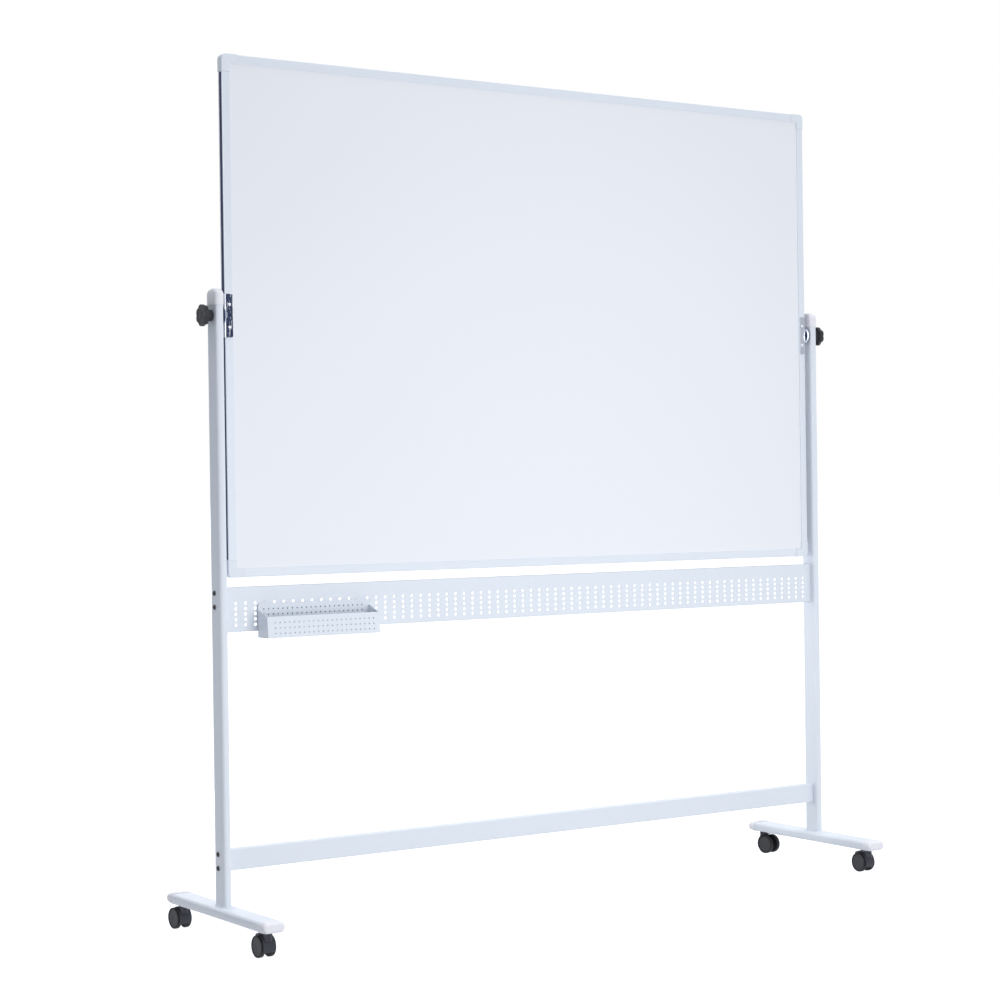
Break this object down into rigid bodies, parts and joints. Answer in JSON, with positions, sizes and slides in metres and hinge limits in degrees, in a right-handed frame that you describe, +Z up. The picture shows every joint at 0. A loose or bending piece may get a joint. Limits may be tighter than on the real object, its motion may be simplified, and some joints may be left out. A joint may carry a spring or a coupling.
{
  "type": "rolling whiteboard",
  "caption": "Double-sided whiteboard that tilts between the posts of a wheeled steel stand, with a perforated rail and a hang-on tray.",
  "frame": {"origin": "floor level, midway between the two posts and between the front and rear feet", "axes": "+X along the board to the reader's right, +Y away from the reader, +Z up"},
  "size_m": [1.876, 0.4993, 2.0377],
  "materials": {
    "writing_surface": "satin white dry-wipe enamel on steel",
    "honeycomb_core": "matte kraft paper honeycomb",
    "anodised_frame": "satin anodised extrusion",
    "powder_coat": "fine-texture pale grey-blue powder coat",
    "white_plastic": "satin white moulding",
    "black_plastic": "matte black moulding",
    "black_tyre": "black nylon wheel with grey-black disc",
    "chrome_fittings": "bright plated steel",
    "zinc_steel": "zinc-plated steel",
    "black_screw": "black oxide steel"
  },
  "bodies": {
    "stand": {"post_left": "powder_coat", "post_right": "powder_coat", "foot_tube_left": "powder_coat", "foot_tube_right": "powder_coat", "lower_crossbar": "powder_coat", "perforated_panel": "powder_coat", "post_cap_left": "white_plastic", "post_cap_right": "white_plastic", "foot_cap_front_left": "white_plastic", "foot_cap_front_right": "white_plastic", "foot_cap_rear_left": "white_plastic", "foot_cap_rear_right": "white_plastic", "frame_screw_crossbar_lower_left": "black_screw", "frame_screw_crossbar_lower_right": "black_screw", "frame_screw_crossbar_upper_left": "black_screw", "frame_screw_crossbar_upper_right": "black_screw", "frame_screw_panel_lower_left": "black_screw", "frame_screw_panel_lower_right": "black_screw", "frame_screw_panel_upper_left": "black_screw", "frame_screw_panel_upper_right": "black_screw", "caster_stem_front_left": "zinc_steel", "caster_stem_rear_left": "zinc_steel", "caster_stem_rear_right": "zinc_steel", "caster_stem_front_right": "zinc_steel"},
    "board": {"board_core": "honeycomb_core", "face_sheet_front": "writing_surface", "face_sheet_rear": "writing_surface", "rail_top": "anodised_frame", "rail_bottom": "anodised_frame", "rail_left": "anodised_frame", "rail_right": "anodised_frame", "corner_cap_top_left": "white_plastic", "corner_cap_top_right": "white_plastic", "corner_cap_bottom_left": "white_plastic", "corner_cap_bottom_right": "white_plastic", "pivot_bracket_left": "chrome_fittings", "pivot_bracket_right": "chrome_fittings", "friction_disc_left": "chrome_fittings", "friction_disc_right": "chrome_fittings"},
    "knob_left": {"knob_left": "black_plastic"},
    "knob_right": {"knob_right": "black_plastic"},
    "tray": {"accessory_tray": "powder_coat"},
    "caster_front_left": {"caster_hood_front_left": "black_plastic", "caster_axle_front_left": "zinc_steel"},
    "wheel_outer_front_left": {"caster_wheel_outer_front_left": "black_tyre"},
    "wheel_inner_front_left": {"caster_wheel_inner_front_left": "black_tyre"},
    "brake_front_left": {"caster_brake_front_left": "black_plastic"},
    "caster_rear_left": {"caster_hood_rear_left": "black_plastic", "caster_axle_rear_left": "zinc_steel"},
    "wheel_outer_rear_left": {"caster_wheel_outer_rear_left": "black_tyre"},
    "wheel_inner_rear_left": {"caster_wheel_inner_rear_left": "black_tyre"},
    "caster_rear_right": {"caster_hood_rear_right": "black_plastic", "caster_axle_rear_right": "zinc_steel"},
    "wheel_outer_rear_right": {"caster_wheel_outer_rear_right": "black_tyre"},
    "wheel_inner_rear_right": {"caster_wheel_inner_rear_right": "black_tyre"},
    "caster_front_right": {"caster_hood_front_right": "black_plastic", "caster_axle_front_right": "zinc_steel"},
    "wheel_outer_front_right": {"caster_wheel_outer_front_right": "black_tyre"},
    "wheel_inner_front_right": {"caster_wheel_inner_front_right": "black_tyre"},
    "brake_front_right": {"caster_brake_front_right": "black_plastic"}
  },
  "joints": [
    {"name": "board_tilt", "type": "hinge", "parent": "stand", "child": "board", "pos_m": [0, 0, 1.437], "axis": [1, 0, 0], "continuous": true},
    {"name": "knob_left_turn", "type": "hinge", "parent": "board", "child": "knob_left", "pos_m": [-0.93, 0, 1.437], "axis": [-1, 0, 0], "range_deg": [0, 720]},
    {"name": "knob_right_turn", "type": "hinge", "parent": "board", "child": "knob_right", "pos_m": [0.93, 0, 1.437], "axis": [1, 0, 0], "range_deg": [0, 720]},
    {"name": "tray_unhook", "type": "hinge", "parent": "stand", "child": "tray", "pos_m": [-0.6625, -0.009, 0.7795], "axis": [1, 0, 0], "range_deg": [-30, 0]},
    {"name": "caster_swivel_front_left", "type": "hinge", "parent": "stand", "child": "caster_front_left", "pos_m": [-0.9, -0.21, 0.05], "axis": [0, 0, 1], "continuous": true},
    {"name": "wheel_outer_front_left_spin", "type": "hinge", "parent": "caster_front_left", "child": "wheel_outer_front_left", "pos_m": [-0.90015, -0.1925, 0.025], "axis": [1, 0.0087, 0], "continuous": true},
    {"name": "wheel_inner_front_left_spin", "type": "hinge", "parent": "caster_front_left", "child": "wheel_inner_front_left", "pos_m": [-0.90015, -0.1925, 0.025], "axis": [1, 0.0087, 0], "continuous": true},
    {"name": "brake_front_left_press", "type": "hinge", "parent": "caster_front_left", "child": "brake_front_left", "pos_m": [-0.90018, -0.1898, 0.054], "axis": [1, 0.0087, 0], "range_deg": [-6, 0]},
    {"name": "caster_swivel_rear_left", "type": "hinge", "parent": "stand", "child": "caster_rear_left", "pos_m": [-0.9, 0.21, 0.05], "axis": [0, 0, 1], "continuous": true},
    {"name": "wheel_outer_rear_left_spin", "type": "hinge", "parent": "caster_rear_left", "child": "wheel_outer_rear_left", "pos_m": [-0.90092, 0.22748, 0.025], "axis": [0.9986, 0.0523, 0], "continuous": true},
    {"name": "wheel_inner_rear_left_spin", "type": "hinge", "parent": "caster_rear_left", "child": "wheel_inner_rear_left", "pos_m": [-0.90092, 0.22748, 0.025], "axis": [0.9986, 0.0523, 0], "continuous": true},
    {"name": "caster_swivel_rear_right", "type": "hinge", "parent": "stand", "child": "caster_rear_right", "pos_m": [0.9, 0.21, 0.05], "axis": [0, 0, 1], "continuous": true},
    {"name": "wheel_outer_rear_right_spin", "type": "hinge", "parent": "caster_rear_right", "child": "wheel_outer_rear_right", "pos_m": [0.90244, 0.19267, 0.025], "axis": [-0.9903, -0.1392, 0], "continuous": true},
    {"name": "wheel_inner_rear_right_spin", "type": "hinge", "parent": "caster_rear_right", "child": "wheel_inner_rear_right", "pos_m": [0.90244, 0.19267, 0.025], "axis": [-0.9903, -0.1392, 0], "continuous": true},
    {"name": "caster_swivel_front_right", "type": "hinge", "parent": "stand", "child": "caster_front_right", "pos_m": [0.9, -0.21, 0.05], "axis": [0, 0, 1], "continuous": true},
    {"name": "wheel_outer_front_right_spin", "type": "hinge", "parent": "caster_front_right", "child": "wheel_outer_front_right", "pos_m": [0.89985, -0.1925, 0.025], "axis": [1, 0.0087, 0], "continuous": true},
    {"name": "wheel_inner_front_right_spin", "type": "hinge", "parent": "caster_front_right", "child": "wheel_inner_front_right", "pos_m": [0.89985, -0.1925, 0.025], "axis": [1, 0.0087, 0], "continuous": true},
    {"name": "brake_front_right_press", "type": "hinge", "parent": "caster_front_right", "child": "brake_front_right", "pos_m": [0.89982, -0.1898, 0.054], "axis": [1, 0.0087, 0], "range_deg": [-6, 0]}
  ]
}
